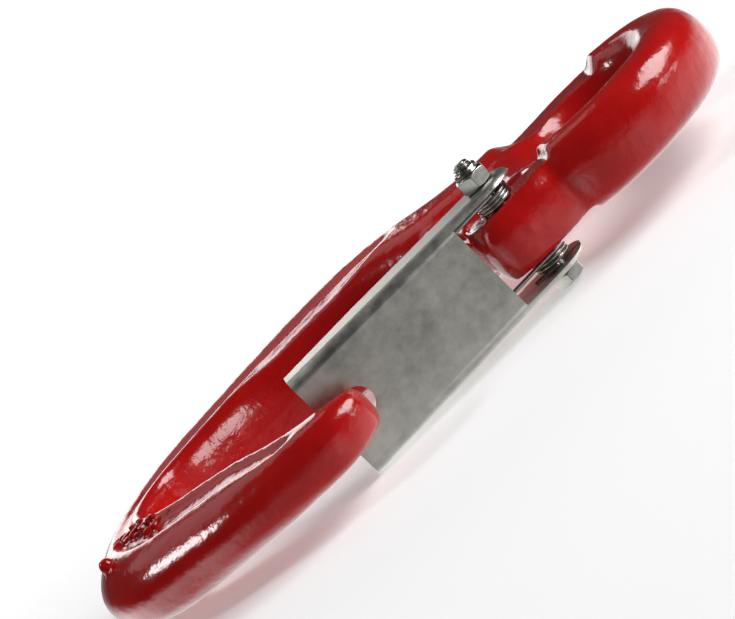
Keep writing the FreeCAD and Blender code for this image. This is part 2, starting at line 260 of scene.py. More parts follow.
def neck_plate():
    b, rc = 8.8, 26.2
    pts = [(PX + r * math.cos(math.radians(a)), PZ + r * math.sin(math.radians(a))) for a, r in ((20, b), (-12, 8.9), (-40, 10.2), (-62, 11.5), (-85, 11.7))]
    pts += [(16.5, -45.2), (5.5, -49.5), (-4.0, -56.0), (-15.0, -52.0), (-22.0, -40.0), (-24.0, -27.0),
            polar(rc, -137), polar(rc, -115), polar(rc, -90), polar(rc, -65), polar(rc, -42),
            (25.5, -13.5), (30.3, -18.0), (32.6, -23.5)]
    O = closed_spline(pts, 360)
    c = O.mean(0)
    nrm = []
    k = len(O)
    d = np.roll(O, -1, 0) - np.roll(O, 1, 0)
    nrm = np.stack([d[:, 1], -d[:, 0]], 1)
    nrm /= np.linalg.norm(nrm, axis=1)[:, None]
    if ((O - c) * nrm).sum() < 0:
        nrm = -nrm
    half, fil = 10.6, 8.6
    V, rows = [], []
    prof = [(0.0 + fil * (1 - math.sin(q)), half - fil * (1 - math.cos(q))) for q in np.linspace(0, math.pi / 2, 9)]
    # profile from the side face (inset) to the rim, then mirrored
    full = [(ins, -y) for ins, y in [(fil * (1 - math.sin(q)), half - fil * (1 - math.cos(q))) for q in np.linspace(0, math.pi / 2, 9)]]
    full += [(0.0, 0.0)]
    full += [(ins, y) for ins, y in reversed([(fil * (1 - math.sin(q)), half - fil * (1 - math.cos(q))) for q in np.linspace(0, math.pi / 2, 9)])]
    tight = 1 - 0.55 * smoothstep(-41.0, -45.0, O[:, 1])
    for ins, y in full:
        ring = O - nrm * (ins * tight)[:, None]
        V.append(np.stack([ring[:, 0], np.full(k, y), ring[:, 1]], 1))
    V = np.concatenate(V)
    F = grid_faces(len(full), k)
    c0, c1 = len(V), len(V) + 1
    V = np.r_[V, [[c[0], -half, c[1]]], [[c[0], half, c[1]]]]
    last = (len(full) - 1) * k
    F += [(c0, (j + 1) % k, j) for j in range(k)]
    F += [(c1, last + j, last + (j + 1) % k) for j in range(k)]
    return V, F


def blob(center, axes, radii, power=2.6, n=28, m=20):
    # rounded, slightly boxy lump: axes is a 3x3 matrix of unit vectors
    V = []
    A = np.array(axes, float)
    for i in range(m + 1):
        v = -np.pi / 2 + np.pi * i / m
        for j in range(n):
            u = 2 * np.pi * j / n
            e = 2 / power
            x = np.sign(np.cos(v)) * abs(np.cos(v)) ** e * np.sign(np.cos(u)) * abs(np.cos(u)) ** e
            y = np.sign(np.cos(v)) * abs(np.cos(v)) ** e * np.sign(np.sin(u)) * abs(np.sin(u)) ** e
            z = np.sign(np.sin(v)) * abs(np.sin(v)) ** e
            V.append(np.array(center) + A[0] * x * radii[0] + A[1] * y * radii[1] + A[2] * z * radii[2])
    return np.array(V), grid_faces(m + 1, n)


def side_half(x, z):
    # half thickness of the forging's side face near (x, z), on the bowl
    d = np.hypot(ST[:, 0] + (ST[:, 2] - ST[:, 0]) / 2 - x, ST[:, 1] + (ST[:, 3] - ST[:, 1]) / 2 - z)
    i = int(np.argmin(d))
    return (ST[i, 4] + ST[i, 5]) / 2 - 2.1


def hook_mesh():
    VV, FF, base = [], [], 0
    lumps = []
    for V, F in (forged_loft(), eye_ring(), neck_plate()):
        lumps.append((V, F))
    # gauge boss on the side of the bowl
    lumps.append(blob((14.4, -9.6, -168.6), np.eye(3), (2.1, 3.0, 2.1), 2.3))
    # raised marks on the bowl's side panel: plain bars and pips, no characters
    from mathutils.bvhtree import BVHTree
    V, F = lumps[0]
    tree = BVHTree.FromPolygons([tuple(v) for v in V], F)
    A = np.array([2.5, -166.0])
    B = np.array([23.0, -148.5])
    along = (B - A) / np.linalg.norm(B - A)
    across = np.array([-along[1], along[0]])
    marks = [(0.8, 0.3, 1.5, 80), (3.4, 1.5, 1.6, 10), (3.4, -1.6, 1.5, 60), (6.9, 0.2, 2.3, 95), (9.6, 1.8, 0.8, 0), (9.5, -1.6, 1.5, 30),
             (13.1, 0.0, 2.4, 85), (15.6, 1.7, 1.5, -20), (15.9, -1.7, 0.8, 0), (19.0, 0.3, 2.3, 100), (21.8, 1.4, 1.5, 20),
             (22.0, -1.7, 1.4, 70), (25.0, 0.0, 1.9, 90)]
    for su, sv, long_, turn in marks:
        p = A + along * su + across * sv
        q = math.radians(turn)
        d = along * math.cos(q) + across * math.sin(q)
        U = np.array([d[0], 0, d[1]])
        W = np.array([-d[1], 0, d[0]])
        hit = tree.ray_cast((p[0], -40.0, p[1]), (0, 1, 0))[0]
        if hit is not None:
            lumps.append(blob((p[0], hit[1] - 0.1, p[1]), [U, np.array([0, 1.0, 0]), W], (long_ * 1.0, 1.25, 0.80), 4.5, 20, 14))
    # one faint bar on the front of the neck
    lumps.append(blob((33.15, -0.7, -30.3), np.eye(3), (0.9, 2.8, 0.7), 3.0))
    lumps.append(blob((33.2, -3.6, -31.6), np.eye(3), (0.8, 0.6, 1.3), 3.0))
    for V, F in lumps:
        FF += [tuple(i + base for i in f) for f in F]
        VV.append(V)
        base += len(V)
    me = bpy.data.meshes.new("hook_raw")
    me.from_pydata([tuple(v) for v in np.concatenate(VV)], [], FF)
    me.update()
    ob = bpy.data.objects.new("hook_raw", me)
    scene.collection.objects.link(ob)
    fix_normals(ob)
    r = ob.modifiers.new("remesh", "REMESH")
    r.mode = "VOXEL"
    r.voxel_size = 0.42
    r.adaptivity = 0.0
    out = evaluated_mesh(ob)
    bpy.data.objects.remove(ob)
    bpy.data.meshes.remove(me)
    return out


def relax(co, edges, deg, mask, steps, lam=0.5):
    for _ in range(steps):
        acc = np.zeros_like(co)
        np.add.at(acc, edges[:, 0], co[edges[:, 1]])
        np.add.at(acc, edges[:, 1], co[edges[:, 0]])
        co = co + (acc / deg[:, None] - co) * (lam * mask)[:, None]
    return co


def neighbours_sum(edges, n):
    # sparse adjacency by sorting, much faster than add.at over many steps
    i = np.r_[edges[:, 0], edges[:, 1]]
    j = np.r_[edges[:, 1], edges[:, 0]]
    order = np.argsort(i, kind="stable")
    i, j = i[order], j[order]
    starts = np.searchsorted(i, np.arange(n))
    deg = np.diff(np.r_[starts, len(i)])

    def mean(co):
        return np.add.reduceat(co[j], starts, axis=0) / deg[:, None]
    return mean


def value_noise(p, scale, seed):
    # smooth lattice noise in numpy, -1..1
    q = p * scale + seed * 17.31
    i = np.floor(q).astype(np.int64)
    f = q - i
    f = f * f * (3 - 2 * f)

    def h(ix, iy, iz):
        n = (ix * 374761393 + iy * 668265263 + iz * 2147483647 + seed * 974711) & 0xFFFFFFFF
        n = ((n ^ (n >> 13)) * 1274126177) & 0xFFFFFFFF
        return ((n ^ (n >> 16)) & 0xFFFF) / 32767.5 - 1

    r = 0
    for dx in (0, 1):
        for dy in (0, 1):
            for dz in (0, 1):
                w = (f[:, 0] if dx else 1 - f[:, 0]) * (f[:, 1] if dy else 1 - f[:, 1]) * (f[:, 2] if dz else 1 - f[:, 2])
                r = r + w * h(i[:, 0] + dx, i[:, 1] + dy, i[:, 2] + dz)
    return r


def shape_hook(me):
    n = len(me.vertices)
    co = np.zeros(n * 3, np.float32)
    me.vertices.foreach_get("co", co)
    co = co.reshape(-1, 3).astype(float)
    e = np.zeros(len(me.edges) * 2, np.int32)
    me.edges.foreach_get("vertices", e)
    mean = neighbours_sum(e.reshape(-1, 2), n)

    def soften(co, mask, steps, lam=0.5):
        for _ in range(steps):
            co = co + (mean(co) - co) * (lam * mask)[:, None]
        return co

    ones = np.ones(n)
    co = soften(co, ones, 3)
    x, y, z = co.T
    marked = (y < -3.0) * smoothstep(-4, 0, x) * (1 - smoothstep(26, 30, x)) * (1 - smoothstep(-145, -142, z))
    co = soften(co, 1 - marked, 24)
    tip = smoothstep(36, 39, co[:, 0]) * smoothstep(-95, -90, co[:, 2]) * (1 - smoothstep(-80, -78, co[:, 2]))
    co = soften(co, tip, 40)
    front = (1 - smoothstep(6.0, 11.0, np.hypot(co[:, 0] - 30.0, co[:, 2] + 18.0))) * (1 - smoothstep(5.2, 7.6, np.abs(co[:, 1])))
    co = soften(co, front, 60)
    x, y, z = co.T
    r_eye = np.hypot(x, z)
    # blend where ring, neck plate and spine meet
    blend = smoothstep(-62, -50, z) * (1 - smoothstep(-16, -8, z)) * smoothstep(17.6, 20.5, r_eye)
    co = soften(co, blend, 26)
    x, y, z = co.T
    # flattened spine-side arm
    ay = np.abs(y)
    wz = smoothstep(-26.5, -18.5, z) * (1 - smoothstep(6.0, 10.5, z))
    wx = 1 - smoothstep(-16.5, -10.0, x)
    k = wz * wx
    lim = 7.25 * k + 18.0 * (1 - k)
    lim = np.where(k > 1e-3, 7.25 + (np.maximum(ay, 7.25) - 7.25) * (1 - k), 99.0)
    ay2 = np.minimum(ay, lim)
    # spot faces round the pivot
    rp = np.hypot(x - PX, z - PZ)
    s = smoothstep(16.0, 17.8, rp)
    lim2 = np.where(rp < 17.8, 8.1 + (np.maximum(ay2, 8.1) - 8.1) * s, 99.0)
    ay2 = np.minimum(ay2, lim2)
    # pocket in both side faces between the near arm and the spine
    near_edge = 18.6 + 0.10 * (z + 24.0) * -1.0
    pk = smoothstep(near_edge, near_edge - 1.3, x) * smoothstep(-13.0, 2.0, x)
    pk = pk * smoothstep(-54.0, -44.0, z) * smoothstep(-8.5, -12.5, z)
    ay2 = np.where(ay2 > 5.0, ay2 - pk * np.minimum(2.8, ay2 - 5.0), ay2)
    co[:, 1] = np.sign(y) * ay2
    edge = ((np.abs(ay2 - ay) > 1e-4) | (np.abs(rp - 17) < 2.5)).astype(float)
    co = soften(co, edge * smoothstep(9.0, 10.0, rp), 3)
    co = soften(co, ones * 0.8, 1)
    # low waviness of the forging under the paint, and a trimmed parting line
    me.vertices.foreach_set("co", co.astype(np.float32).ravel())
    me.update()
    nr = np.zeros(n * 3, np.float32)
    me.vertices.foreach_get("normal", nr)
    nr = nr.reshape(-1, 3).astype(float)
    wave = 0.09 * value_noise(co, 0.11, 3) + 0.035 * value_noise(co, 0.33, 5)
    line = 0.03 * np.exp(-(co[:, 1] / 0.7) ** 2) * smoothstep(0.75, 0.97, np.hypot(nr[:, 0], nr[:, 2]))
    line *= 0.55 + 0.45 * value_noise(co, 0.08, 9)
    quiet = 1 - smoothstep(9.5, 8.8, rp) * 0.9
    co += nr * ((wave + line) * quiet)[:, None]
    me.vertices.foreach_set("co", (co * MM).astype(np.float32).ravel())
    me.polygons.foreach_set("use_smooth", [True] * len(me.polygons))
    me.update()
    return me


hook_me = shape_hook(hook_mesh())
hook_me.name = "hook_forging"
hook = bpy.data.objects.new("hook_forging", hook_me)
scene.collection.objects.link(hook)


# ============================================================ sheet latch from the CAD shape, edges eased
def refined_copy(node, name, width_mm, segments=2, angle=38):
    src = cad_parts[node]
    me = src.data.copy()
    me.name = name
    ob = bpy.data.objects.new(name, me)
    scene.collection.objects.link(ob)
    bm = bmesh.new()
    bm.from_mesh(me)
    bmesh.ops.remove_doubles(bm, verts=bm.verts, dist=2e-6)
    bmesh.ops.dissolve_limit(bm, angle_limit=math.radians(0.6), verts=bm.verts, edges=bm.edges)
    bm.to_mesh(me)
    bm.free()
    b = ob.modifiers.new("ease", "BEVEL")
    b.width = width_mm * MM
    b.segments = segments
    b.limit_method = "ANGLE"
    b.angle_limit = math.radians(angle)
    b.use_clamp_overlap = True
    b.harden_normals = True
    bake_modifiers(ob)
    return ob


latch = refined_copy("latch", "latch_sheet", 0.22)


# ============================================================ fasteners
def hex_solid(af, h, cone_low, cone_high, rows=18, n=180, dome=0.0, turn=0.0):
    # hexagon with chamfered corners top and bottom, standing from 0 to h; returns verts (local z = height)
    th = 2 * np.pi * np.arange(n) / n
    q = (th - math.radians(turn)) % (math.pi / 3) - math.pi / 6
    hexr = af / 2 / np.cos(q)
    corner = af / math.sqrt(3)
    zs = np.r_[np.linspace(0, 0.9, 8), np.linspace(1.0, h - 1.0, 5), np.linspace(h - 0.9, h, 9)]
    V = []
    t30 = math.tan(math.radians(30))
    for zz in zs:
        r_low = cone_low + zz / t30
        r_high = cone_high + (h - zz) / t30
        V.append(np.stack([np.minimum(np.minimum(hexr, r_low), r_high) * np.cos(th),
                           np.minimum(np.minimum(hexr, r_low), r_high) * np.sin(th), np.full(n, zz)], 1))
    return V, n


def stack_rings(rings, n, cap0=True, cap1=True):
    V = np.concatenate(rings)
    F = grid_faces(len(rings), n)
    last = (len(rings) - 1) * n
    extra = []
    k = len(V)
    if cap0:
        extra.append(rings[0].mean(0))
        F += [(k, (j + 1) % n, j) for j in range(n)]
        k += 1
    if cap1:
        extra.append(rings[-1].mean(0))
        F += [(k, last + j, last + (j + 1) % n) for j in range(n)]
    if extra:
        V = np.r_[V, np.array(extra)]
    return V, F


def ring_at(r, zz, n):
    th = 2 * np.pi * np.arange(n) / n
    r = np.broadcast_to(r, (n,))
    return np.stack([r * np.cos(th), r * np.sin(th), np.full(n, zz)], 1)


def place_minus_y(V, y0):
    # local +z -> -Y, local x -> X, local y -> Z, standing at y = y0
    V = np.asarray(V)
    return np.stack([PX + V[:, 0], y0 - V[:, 2], PZ + V[:, 1]], 1)


NUT_Y = -(29.4 / 2 + 0.15)
HEAD_Y = 29.4 / 2 + 0.15


def nut_object():
    R, n = hex_solid(8.0, 4.2, 3.65, 3.55)
    # crimped crown, rolled over at the top, then down into the thread hole
    th = 2 * np.pi * np.arange(n) / n
    tri = 1 - 0.045 * np.exp(-(((th + 0.5) % (2 * math.pi / 3) - math.pi / 3) / 0.28) ** 2)
    for r, zz in ((3.52, 4.24), (3.46, 4.5), (3.42, 4.9), (3.38, 5.2), (3.28, 5.42), (3.12, 5.6), (2.95, 5.7), (2.75, 5.74), (2.62, 5.68), (2.56, 5.5), (2.54, 5.1)):
        w = min(max((zz - 4.3) / 0.9, 0), 1)
        R.append(ring_at(r * (1 - (1 - tri) * w), zz, n))
    V, F = stack_rings(R, n)
    return make_object("lock_nut_visual", place_minus_y(V, NUT_Y), F)


def bolt_object():
    n = 120
    th = 2 * np.pi * np.arange(n) / n
    V, F = [], []
    # head: chamfered hexagon on the +Y side with a shallow dish on top
    H, hn = hex_solid(8.0, 3.2, 3.75, 3.7, n=180)
    H += [ring_at(3.35, 3.2, 180), ring_at(2.9, 3.12, 180), ring_at(2.2, 3.02, 180), ring_at(1.0, 3.0, 180)]
    HV, HF = stack_rings(H, 180)
    HV = np.stack([PX + HV[:, 0], HEAD_Y + HV[:, 2], PZ + HV[:, 1]], 1)
    # shank, then a rolled thread at the nut end with a domed tip
    rings = []
    y_start, y_end = HEAD_Y, NUT_Y - 4.2 - 1.6 - 1.4
    ys = np.linspace(y_start, -10.5, 24)
    for yy in ys:
        rings.append(np.stack([PX + 2.46 * np.cos(th), np.full(n, yy), PZ + 2.46 * np.sin(th)], 1))
    for yy in np.arange(-10.6, y_end, -0.1):
        ph = (-yy / 0.8 - th / (2 * math.pi)) % 1.0
        tooth = np.abs(ph * 2 - 1)
        r = 2.47 - 0.42 * (1 - np.clip(tooth * 1.25 - 0.1, 0, 1))
        end = min(1.0, max(0.0, (yy - y_end) / 0.7))
        r = r * (0.80 + 0.20 * math.sqrt(end)) if end < 1 else r
        rings.append(np.stack([PX + r * np.cos(th), np.full(n, yy), PZ + r * np.sin(th)], 1))
    for q in (1.85, 1.2, 0.5):
        rings.append(np.stack([PX + q * np.cos(th), np.full(n, y_end - 0.04), PZ + q * np.sin(th)], 1))
    SV, SF = stack_rings(rings, n)
    SF = [tuple(reversed(f)) for f in SF]
    V = np.r_[HV, SV]
    F = HF + [tuple(i + len(HV) for i in f) for f in SF]
    ob = make_object("pivot_bolt_visual", V, F)
    return ob


nut = nut_object()
bolt = bolt_object()
fix_normals(nut)
fix_normals(bolt)

# ============================================================ spring wire
TILT = math.radians(7.0)


def latch_to_world(P):
    P = np.asarray(P, float)
    c, s = math.cos(TILT), math.sin(TILT)
    return np.stack([PX + P[:, 0] * c - P[:, 2] * s, P[:, 1], PZ + P[:, 0] * s + P[:, 2] * c], 1)


WR, CR, CP, CT = 0.55, 4.6, 1.14, 2.75
GAP = 8.1 + 0.12
Y_IN, Y_OUT = GAP + WR, GAP + WR + CP * CT
LEG_X, BAR_Z = 8.2 - 2.0 - WR - 0.12, -(12.8 + 9.0)


def helix(y0, y1, turns, start, direction):
    k = int(48 * turns)
    t = np.linspace(0, 1, k)
    a = start + direction * 2 * math.pi * turns * t
    return np.stack([CR * np.cos(a), y0 + (y1 - y0) * t, CR * np.sin(a)], 1)


def spring_path():
    P = []
    # -Y pack from its inner to its outer turn
    P += list(helix(-Y_IN, -Y_OUT, 3.3, -0.6 * math.pi, 1))
    # leg down behind the web, bar across, leg up to the inner turn of the +Y pack
    P += [[CR + 0.05, -Y_OUT, -4.0], [LEG_X - 0.3, -Y_OUT, -12.0], [LEG_X, -Y_OUT + 0.0, BAR_Z + 1.6], [LEG_X, -Y_OUT + 0.45, BAR_Z + 0.45], [LEG_X, -Y_OUT + 1.6, BAR_Z]]
    P += [[LEG_X, -4.0, BAR_Z], [LEG_X, 3.0, BAR_Z], [LEG_X, Y_IN - 1.6, BAR_Z], [LEG_X, Y_IN - 0.45, BAR_Z + 0.45], [LEG_X, Y_IN, BAR_Z + 1.6]]
    P += [[LEG_X - 0.3, Y_IN, -12.0], [CR + 0.05, Y_IN, -4.0]]
    P += list(helix(Y_IN, Y_OUT, 3.0, 0.0, 1))
    P += [[CR - 0.7, Y_OUT, -3.4], [CR - 1.6, Y_OUT, -7.5]]
    return latch_to_world(P) * MM


cu = bpy.data.curves.new("spring_wire", "CURVE")
cu.dimensions = "3D"
sp = cu.splines.new("NURBS")
path = spring_path()
sp.points.add(len(path) - 1)
for i, p in enumerate(path):
    sp.points[i].co = (*p, 1.0)
sp.order_u = 3
sp.use_endpoint_u = True
sp.resolution_u = 4
cu.bevel_depth = WR * MM
cu.bevel_resolution = 6
cu.use_fill_caps = True
tmp = bpy.data.objects.new("spring_tmp", cu)
scene.collection.objects.link(tmp)
spring_me = evaluated_mesh(tmp)
bpy.data.objects.remove(tmp)
spring_me.name = "latch_spring_visual"
spring = bpy.data.objects.new("latch_spring_visual", spring_me)
scene.collection.objects.link(spring)
spring_me.polygons.foreach_set("use_smooth", [True] * len(spring_me.polygons))


# ============================================================ materials
def new_mat(name):
    m = bpy.data.materials.new(name)
    m.use_nodes = True
    nt = m.node_tree
    nt.nodes.clear()
    out = nt.nodes.new("ShaderNodeOutputMaterial")
    b = nt.nodes.new("ShaderNodeBsdfPrincipled")
    nt.links.new(b.outputs[0], out.inputs[0])
    return m, nt, b, out


def N(nt, kind, **kw):
    n = nt.nodes.new(kind)
    for k, v in kw.items():
        if k in n.inputs:
            n.inputs[k].default_value = v
        else:
            setattr(n, k, v)
    return n


def noise(nt, vec, scale, detail=2.0, rough=0.5, stretch=None):
    if stretch is not None:
        mp = N(nt, "ShaderNodeMapping")
        mp.inputs["Scale"].default_value = stretch
        nt.links.new(vec, mp.inputs["Vector"])
        vec = mp.outputs[0]
    n = N(nt, "ShaderNodeTexNoise")
    n.inputs["Scale"].default_value = scale
    n.inputs["Detail"].default_value = detail
    n.inputs["Roughness"].default_value = rough
    nt.links.new(vec, n.inputs["Vector"])
    return n.outputs["Fac"]


def ramp(nt, fac, stops):
    r = N(nt, "ShaderNodeValToRGB")
    els = r.color_ramp.elements
    els[0].position, els[0].color = stops[0][0], stops[0][1]
    els[1].position, els[1].color = stops[-1][0], stops[-1][1]
    for p, c in stops[1:-1]:
        el = els.new(p)
        el.color = c
    nt.links.new(fac, r.inputs[0])
    return r.outputs[0]


def maprange(nt, fac, lo, hi, a=0.0, b=1.0):
    m = N(nt, "ShaderNodeMapRange")
    m.inputs["From Min"].default_value = a
    m.inputs["From Max"].default_value = b
    m.inputs["To Min"].default_value = lo
    m.inputs["To Max"].default_value = hi
    nt.links.new(fac, m.inputs["Value"])
    return m.outputs[0]


def bump(nt, height, strength, dist, normal=None):
    b = N(nt, "ShaderNodeBump")
    b.inputs["Strength"].default_value = strength
    b.inputs["Distance"].default_value = dist
    nt.links.new(height, b.inputs["Height"])
    if normal is not None:
        nt.links.new(normal, b.inputs["Normal"])
    return b.outputs[0]


def add(nt, a, b, wa=1.0, wb=1.0):
    ma = N(nt, "ShaderNodeMath", operation="MULTIPLY")
    ma.inputs[1].default_value = wa
    nt.links.new(a, ma.inputs[0])
    mb = N(nt, "ShaderNodeMath", operation="MULTIPLY_ADD")
    mb.inputs[1].default_value = wb
    nt.links.new(b, mb.inputs[0])
    nt.links.new(ma.outputs[0], mb.inputs[2])
    return mb.outputs[0]


def red_paint():
    m, nt, b, out = new_mat("red_gloss_paint")
    co = N(nt, "ShaderNodeTexCoord").outputs["Object"]
    big = noise(nt, co, 26.0, 3.0, 0.55)
    mid = noise(nt, co, 160.0, 3.0, 0.55)
    col = ramp(nt, add(nt, big, mid, 0.65, 0.35), [(0.30, (0.37, 0.0034, 0.0034, 1)), (0.52, (0.44, 0.0048, 0.0046, 1)), (0.72, (0.51, 0.0078, 0.0068, 1))])
    nt.links.new(col, b.inputs["Base Color"])
    nt.links.new(maprange(nt, mid, 0.13, 0.22), b.inputs["Roughness"])
    b.inputs["IOR"].default_value = 1.50
    b.inputs["Coat Weight"].default_value = 0.25
    b.inputs["Coat Roughness"].default_value = 0.045
    peel = noise(nt, co, 420.0, 2.0, 0.5)
    drag = noise(nt, co, 120.0, 2.0, 0.5)
    fine = noise(nt, co, 1500.0, 2.0, 0.5)
    h = add(nt, add(nt, peel, drag, 0.75, 0.9), fine, 1.0, 0.10)
    nrm = bump(nt, h, 0.42, 0.00042)
    nt.links.new(nrm, b.inputs["Normal"])
    nt.links.new(nrm, b.inputs["Coat Normal"])
    return m


def zinc_sheet():
    m, nt, b, out = new_mat("zinc_sheet")
    co = N(nt, "ShaderNodeTexCoord").outputs["Object"]
    spang = noise(nt, co, 340.0, 4.0, 0.62)
    cloud = noise(nt, co, 62.0, 3.0, 0.6)
    grain = noise(nt, co, 900.0, 3.0, 0.6, stretch=(1.0, 1.0, 0.12))
    # painted shade: the strip's colour is darker towards the pivot end and the upper fold, standing in for the light
    # falling off there
    sp_ = N(nt, "ShaderNodeSeparateXYZ")
    nt.links.new(co, sp_.inputs[0])
    slope = add(nt, sp_.outputs["Y"], sp_.outputs["Z"], 1.0, -0.45)
    painted_shade = maprange(nt, slope, -0.16, 0.13, 0.010, 0.052)
    tone = add(nt, add(nt, spang, cloud, 0.45, 0.55), painted_shade, 1.0, 1.0)
    col = ramp(nt, tone, [(0.28, (0.38, 0.373, 0.34, 1)), (0.5, (0.60, 0.585, 0.535, 1)), (0.72, (0.80, 0.785, 0.72, 1))])
    nt.links.new(col, b.inputs["Base Color"])
    b.inputs["Metallic"].default_value = 1.0
    nt.links.new(maprange(nt, add(nt, spang, cloud, 0.6, 0.4), 0.38, 0.54, 0.3, 0.7), b.inputs["Roughness"])
    h = add(nt, add(nt, spang, grain, 0.6, 0.5), cloud, 1.0, 0.5)
    nt.links.new(bump(nt, h, 0.25, 0.00012), b.inputs["Normal"])
    return m


def zinc_edge():
    m, nt, b, out = new_mat("zinc_cut_edge")
    co = N(nt, "ShaderNodeTexCoord").outputs["Object"]
    tear = noise(nt, co, 1100.0, 3.0, 0.65)
    cloud = noise(nt, co, 260.0, 2.0, 0.5)
    col = ramp(nt, add(nt, tear, cloud, 0.5, 0.5), [(0.3, (0.42, 0.40, 0.36, 1)), (0.7, (0.80, 0.78, 0.72, 1))])
    nt.links.new(col, b.inputs["Base Color"])
    b.inputs["Metallic"].default_value = 1.0
    nt.links.new(maprange(nt, tear, 0.24, 0.5), b.inputs["Roughness"])
    nt.links.new(bump(nt, tear, 0.5, 0.00015), b.inputs["Normal"])
    return m


def zinc_hardware():
    m, nt, b, out = new_mat("zinc_hardware")
    co = N(nt, "ShaderNodeTexCoord").outputs["Object"]
    a = noise(nt, co, 700.0, 3.0, 0.6)
    c = noise(nt, co, 180.0, 2.0, 0.5)
    col = ramp(nt, add(nt, a, c, 0.5, 0.5), [(0.3, (0.26, 0.26, 0.235, 1)), (0.7, (0.50, 0.50, 0.46, 1))])
    nt.links.new(col, b.inputs["Base Color"])
    b.inputs["Metallic"].default_value = 1.0
    nt.links.new(maprange(nt, a, 0.16, 0.34), b.inputs["Roughness"])
    nt.links.new(bump(nt, add(nt, a, c, 0.6, 0.6), 0.22, 0.0001), b.inputs["Normal"])
    return m


def wire_mat():
    m, nt, b, out = new_mat("spring_wire")
    co = N(nt, "ShaderNodeTexCoord").outputs["Object"]
    a = noise(nt, co, 1300.0, 3.0, 0.6)
    c = noise(nt, co, 300.0, 2.0, 0.5)
    col = ramp(nt, add(nt, a, c, 0.5, 0.5), [(0.3, (0.22, 0.21, 0.20, 1)), (0.7, (0.48, 0.47, 0.45, 1))])
    nt.links.new(col, b.inputs["Base Color"])
    b.inputs["Metallic"].default_value = 1.0
    nt.links.new(maprange(nt, a, 0.16, 0.30), b.inputs["Roughness"])
    nt.links.new(bump(nt, a, 0.2, 0.00005), b.inputs["Normal"])
    return m


MAT_RED, MAT_ZINC, MAT_EDGE, MAT_HARD, MAT_WIRE = red_paint(), zinc_sheet(), zinc_edge(), zinc_hardware(), wire_mat()


def set_mats(ob, *mats):
    ob.data.materials.clear()
    for m in mats:
        ob.data.materials.append(m)


set_mats(hook, MAT_RED)
set_mats(nut, MAT_HARD)
set_mats(bolt, MAT_HARD)
set_mats(spring, MAT_WIRE)
set_mats(latch, MAT_ZINC, MAT_EDGE)
for n_, m_ in (("hook_body", MAT_RED), ("latch", MAT_ZINC), ("pivot_bolt", MAT_HARD), ("lock_nut", MAT_HARD), ("latch_spring", MAT_WIRE)):
    set_mats(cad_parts[n_], m_)


def mark_cut_edges(ob):
    # faces of the sheet's cut edges: those whose normal lies in the sheet's own plane there
    me = ob.data
    c, s = math.cos(TILT), math.sin(TILT)
    for p in me.polygons:
        n = p.normal
        lx, ly, lz = n.x * c + n.z * s, n.y, -n.x * s + n.z * c
        q = p.center
        X = (q.x / MM - PX) * c + (q.z / MM - PZ) * s
        Y = q.y / MM
        Z = -(q.x / MM - PX) * s + (q.z / MM - PZ) * c
        edge = False
        if abs(lz) > 0.6:
            edge = True
        elif abs(lx) > 0.6 and X < 7.0 and abs(Y) > 11.0 and X < 5.0:
            edge = True
        elif abs(lx) > 0.6 and Z > -12.9:
            edge = True
        elif abs(Y) < 5.0 and abs(ly) > 0.5:
            edge = True
        if edge:
            p.material_index = 1


mark_cut_edges(latch)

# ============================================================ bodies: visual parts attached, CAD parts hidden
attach(hook, "hook")
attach(bolt, "hook")
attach(nut, "hook")
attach(latch, "latch")
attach(spring, "latch")
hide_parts("hook_body")
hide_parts("pivot_bolt")
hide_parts("lock_nut")
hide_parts("latch")
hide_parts("latch_spring")

# ============================================================ floor: the hook lies on its side on it
# it rests on the latch's lower flange and the widest part of the spine; the bolt head just clears
def on_floor(x, z, up=0.0):
    n = np.array([0.015, -1.0, 0.0396])
    n /= np.linalg.norm(n)
    return np.array([x, 0.0199 + 0.015 * x + 0.0396 * z, z]) + n * up


def sweep():
    # white paper, flat under the hook
    prof = [(0.34, 0.0), (0.1, 0.0), (-0.1, 0.0), (-0.5, 0.0), (-1.6, 0.0)]
    V = []
    for zz in (-0.62, 0.50):
        V += [tuple(on_floor(px, zz, py)) for px, py in prof]
    k = len(prof)
    F = [(i, i + 1, k + i + 1, k + i) for i in range(k - 1)]
    me = bpy.data.meshes.new("paper_sweep")
    me.from_pydata(V, [], F)
    me.update()
    if me.polygons[0].normal.y > 0:
        me.flip_normals()
    me.polygons.foreach_set("use_smooth", [True] * len(me.polygons))
    return me


floor = bpy.data.objects.new("paper_sweep", sweep())
scene.collection.objects.link(floor)
fm, nt, b, out = new_mat("floor_white")
co = N(nt, "ShaderNodeTexCoord").outputs["Object"]
fc = noise(nt, co, 3.0, 2.0, 0.5)
col = ramp(nt, fc, [(0.3, (0.86, 0.86, 0.87, 1)), (0.7, (0.90, 0.90, 0.905, 1))])
nt.links.new(col, b.inputs["Base Color"])
b.inputs["Roughness"].default_value = 0.8
b.inputs["Specular IOR Level"].default_value = 0.2
sep = N(nt, "ShaderNodeSeparateXYZ")
nt.links.new(co, sep.inputs[0])
# painted light: the paper glows, strongest far behind the hook and weaker near it, to whiten the floor and pale its
# shadows
b.inputs["Emission Color"].default_value = (1, 1, 1, 1)
painted_floor_glow = maprange(nt, sep.outputs["X"], 0.95, 0.30, -0.60, -0.04)
nt.links.new(painted_floor_glow, b.inputs["Emission Strength"])
tr = N(nt, "ShaderNodeBsdfTransparent")
geo = N(nt, "ShaderNodeNewGeometry")
mx = N(nt, "ShaderNodeMixShader")
nt.links.new(geo.outputs["Backfacing"], mx.inputs[0])
nt.links.new(b.outputs[0], mx.inputs[1])
nt.links.new(tr.outputs[0], mx.inputs[2])
nt.links.new(mx.outputs[0], out.inputs[0])
floor.data.materials.append(fm)
floor.visible_glossy = False

